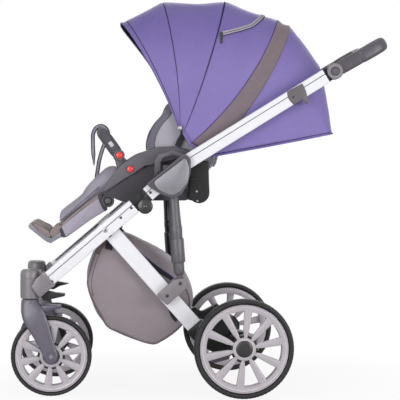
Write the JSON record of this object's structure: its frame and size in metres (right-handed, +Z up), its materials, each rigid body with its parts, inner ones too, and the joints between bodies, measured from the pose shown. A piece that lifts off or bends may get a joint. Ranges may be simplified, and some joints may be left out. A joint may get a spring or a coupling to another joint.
{
  "type": "pram",
  "caption": "Two-in-one pram with a folding chassis, reversible seat unit, reclining back, folding hood, leg rest, sprung rear struts and swivelling front casters.",
  "frame": {"origin": "on the floor, below the middle of the pram's overall box", "axes": "+X towards the push handle, +Y towards the child's right side, +Z up"},
  "size_m": [1.1033, 0.596, 1.171],
  "materials": {
    "white_tube": "satin",
    "dark_plastic": "fine grain",
    "fork_plastic": "satin",
    "black_plastic": "matte",
    "silver_cover": "metallic paint",
    "wheel_silver": "metallic paint",
    "tyre_black": "matte",
    "grip_leather": "stitched",
    "red_button": "gloss",
    "hood_purple": "woven",
    "basket_grey": "woven",
    "seat_lavender": "quilted",
    "seat_grey": "satin"
  },
  "bodies": {
    "front_frame": {"front_leg_tube_left": "white_tube", "front_leg_tube_right": "white_tube", "caster_housing_left": "dark_plastic", "caster_housing_right": "dark_plastic", "fold_hinge_plug_left": "black_plastic", "fold_hinge_plug_right": "black_plastic", "front_cross_tube": "dark_plastic"},
    "upper_frame": {"upper_tube_left": "white_tube", "upper_tube_right": "white_tube", "hinge_clevis_left": "black_plastic", "hinge_clevis_right": "black_plastic", "hub_body_left": "dark_plastic", "hub_body_right": "dark_plastic", "hub_cover_left": "silver_cover", "hub_cover_right": "silver_cover", "handle_joint_left": "black_plastic", "handle_joint_right": "black_plastic"},
    "rear_legs": {"rear_leg_left": "white_tube", "rear_leg_right": "white_tube", "strut_bracket_left": "dark_plastic", "strut_bracket_right": "dark_plastic", "rear_axle": "black_plastic", "basket": "basket_grey"},
    "strut_left": {"strut_sleeve_left": "dark_plastic"},
    "strut_right": {"strut_sleeve_right": "dark_plastic"},
    "strut_rod_left": {"strut_rod_left": "dark_plastic"},
    "strut_rod_right": {"strut_rod_right": "dark_plastic"},
    "caster_left": {"fork_left": "fork_plastic"},
    "caster_right": {"fork_right": "fork_plastic"},
    "front_wheel_left": {"front_rim_left": "wheel_silver", "front_tyre_left": "tyre_black"},
    "front_wheel_right": {"front_rim_right": "wheel_silver", "front_tyre_right": "tyre_black"},
    "swivel_lock_left": {"swivel_lock_left": "black_plastic"},
    "swivel_lock_right": {"swivel_lock_right": "black_plastic"},
    "rear_wheel_left": {"rear_rim_left": "wheel_silver", "rear_tyre_left": "tyre_black"},
    "rear_wheel_right": {"rear_rim_right": "wheel_silver", "rear_tyre_right": "tyre_black"},
    "brake": {"brake_pedal": "dark_plastic"},
    "collar_left": {"release_collar_left": "dark_plastic"},
    "collar_right": {"release_collar_right": "dark_plastic"},
    "handle": {"handle_bar": "dark_plastic", "handle_grip": "grip_leather"},
    "handle_button_left": {"handle_button_left": "dark_plastic"},
    "handle_button_right": {"handle_button_right": "dark_plastic"},
    "seat_unit": {"seat_frame": "seat_grey", "seat_cushion": "seat_lavender"},
    "leg_rest": {"leg_rest": "seat_grey", "leg_pad": "seat_lavender"},
    "bumper_bar": {"bumper_bar": "dark_plastic"},
    "bar_button_left": {"bar_button_left": "red_button"},
    "bar_button_right": {"bar_button_right": "red_button"},
    "armrest_button_left": {"armrest_button_left": "red_button"},
    "armrest_button_right": {"armrest_button_right": "red_button"},
    "backrest": {"backrest_shell": "seat_grey", "back_cushion": "seat_lavender", "canopy_rear": "hood_purple"},
    "hood_middle": {"canopy_middle": "hood_purple"},
    "hood_front": {"canopy_front": "hood_purple"}
  },
  "joints": [
    {"name": "frame_fold", "type": "hinge", "parent": "front_frame", "child": "upper_frame", "pos_m": [-0.163, 0, 0.555], "axis": [0, 1, 0], "range_deg": [0, 95]},
    {"name": "rear_leg_fold", "type": "hinge", "parent": "front_frame", "child": "rear_legs", "pos_m": [-0.279, 0, 0.486], "axis": [0, 1, 0], "range_deg": [0, 43.5]},
    {"name": "strut_swing_left", "type": "hinge", "parent": "rear_legs", "child": "strut_left", "pos_m": [-0.061, -0.205, 0.33], "axis": [0, 1, 0], "range_deg": [-18.5, 0]},
    {"name": "strut_swing_right", "type": "hinge", "parent": "rear_legs", "child": "strut_right", "pos_m": [-0.061, 0.205, 0.33], "axis": [0, 1, 0], "range_deg": [-18.5, 0]},
    {"name": "strut_spring_left", "type": "slide", "parent": "strut_left", "child": "strut_rod_left", "axis": [0.0729, 0, -0.9973], "range_m": [0, 0.012], "stiffness_N_per_m": 3000, "springref_m": -0.002},
    {"name": "strut_spring_right", "type": "slide", "parent": "strut_right", "child": "strut_rod_right", "axis": [0.0729, 0, -0.9973], "range_m": [0, 0.012], "stiffness_N_per_m": 3000, "springref_m": -0.002},
    {"name": "caster_swivel_left", "type": "hinge", "parent": "front_frame", "child": "caster_left", "pos_m": [-0.498, -0.1875, 0.286], "axis": [0, 0, 1], "continuous": true},
    {"name": "caster_swivel_right", "type": "hinge", "parent": "front_frame", "child": "caster_right", "pos_m": [-0.498, 0.1875, 0.286], "axis": [0, 0, 1], "continuous": true},
    {"name": "front_wheel_spin_left", "type": "hinge", "parent": "caster_left", "child": "front_wheel_left", "pos_m": [-0.437, -0.1875, 0.118], "axis": [0, 1, 0], "continuous": true},
    {"name": "front_wheel_spin_right", "type": "hinge", "parent": "caster_right", "child": "front_wheel_right", "pos_m": [-0.437, 0.1875, 0.118], "axis": [0, 1, 0], "continuous": true},
    {"name": "swivel_lock_turn_left", "type": "hinge", "parent": "front_frame", "child": "swivel_lock_left", "pos_m": [-0.46, -0.1875, 0.292], "axis": [0, 1, 0], "range_deg": [0, 7]},
    {"name": "swivel_lock_turn_right", "type": "hinge", "parent": "front_frame", "child": "swivel_lock_right", "pos_m": [-0.46, 0.1875, 0.292], "axis": [0, 1, 0], "range_deg": [0, 7]},
    {"name": "rear_wheel_spin_left", "type": "hinge", "parent": "rear_legs", "child": "rear_wheel_left", "pos_m": [0.12, -0.28, 0.145], "axis": [0, 1, 0], "continuous": true},
    {"name": "rear_wheel_spin_right", "type": "hinge", "parent": "rear_legs", "child": "rear_wheel_right", "pos_m": [0.12, 0.28, 0.145], "axis": [0, 1, 0], "continuous": true},
    {"name": "brake_press", "type": "hinge", "parent": "rear_legs", "child": "brake", "pos_m": [0.12, 0, 0.145], "axis": [0, 1, 0], "range_deg": [-14, 0]},
    {"name": "collar_lift_left", "type": "slide", "parent": "upper_frame", "child": "collar_left", "axis": [0.8508, 0, 0.5255], "range_m": [0, 0.02], "stiffness_N_per_m": 150, "springref_m": -0.004},
    {"name": "collar_lift_right", "type": "slide", "parent": "upper_frame", "child": "collar_right", "axis": [0.8508, 0, 0.5255], "range_m": [0, 0.02], "stiffness_N_per_m": 150, "springref_m": -0.004},
    {"name": "handle_tilt", "type": "hinge", "parent": "upper_frame", "child": "handle", "pos_m": [0.394, 0, 0.95], "axis": [0, 1, 0], "range_deg": [-60, 75]},
    {"name": "handle_button_push_left", "type": "slide", "parent": "handle", "child": "handle_button_left", "axis": [0, 1, 0], "range_m": [0, 0.004], "stiffness_N_per_m": 600},
    {"name": "handle_button_push_right", "type": "slide", "parent": "handle", "child": "handle_button_right", "axis": [0, -1, 0], "range_m": [0, 0.004], "stiffness_N_per_m": 600},
    {"name": "seat_lift_off", "type": "slide", "parent": "upper_frame", "child": "seat_unit", "axis": [0, 0, 1], "range_m": [0, 0.12]},
    {"name": "leg_rest_tilt", "type": "hinge", "parent": "seat_unit", "child": "leg_rest", "pos_m": [-0.271, 0, 0.569], "axis": [0, 1, 0], "range_deg": [-35, 25]},
    {"name": "bumper_bar_tilt", "type": "hinge", "parent": "seat_unit", "child": "bumper_bar", "pos_m": [-0.238, 0, 0.704], "axis": [0, 1, 0], "range_deg": [-60, 12]},
    {"name": "bar_button_push_left", "type": "slide", "parent": "bumper_bar", "child": "bar_button_left", "axis": [0, 1, 0], "range_m": [0, 0.0025], "stiffness_N_per_m": 400},
    {"name": "bar_button_push_right", "type": "slide", "parent": "bumper_bar", "child": "bar_button_right", "axis": [0, -1, 0], "range_m": [0, 0.0025], "stiffness_N_per_m": 400},
    {"name": "armrest_button_push_left", "type": "slide", "parent": "seat_unit", "child": "armrest_button_left", "axis": [0, 1, 0], "range_m": [0, 0.003], "stiffness_N_per_m": 400},
    {"name": "armrest_button_push_right", "type": "slide", "parent": "seat_unit", "child": "armrest_button_right", "axis": [0, -1, 0], "range_m": [0, 0.003], "stiffness_N_per_m": 400},
    {"name": "backrest_recline", "type": "hinge", "parent": "seat_unit", "child": "backrest", "pos_m": [-0.007, 0, 0.595], "axis": [0, 1, 0], "range_deg": [-33, 8]},
    {"name": "hood_middle_fold", "type": "hinge", "parent": "backrest", "child": "hood_middle", "pos_m": [-0.06, 0, 0.785], "axis": [0, 1, 0], "range_deg": [0, 24], "deforming": ["canopy_middle"]},
    {"name": "hood_front_fold", "type": "hinge", "parent": "hood_middle", "child": "hood_front", "pos_m": [-0.06, 0, 0.785], "axis": [0, 1, 0], "range_deg": [0, 18], "deforming": ["canopy_front"]}
  ],
  "couplings": [
    {"joint": "rear_leg_fold", "follows": "frame_fold", "ratio": 0.4525},
    {"joint": "strut_swing_left", "follows": "frame_fold", "ratio": -0.1879},
    {"joint": "strut_swing_right", "follows": "frame_fold", "ratio": -0.1879}
  ]
}
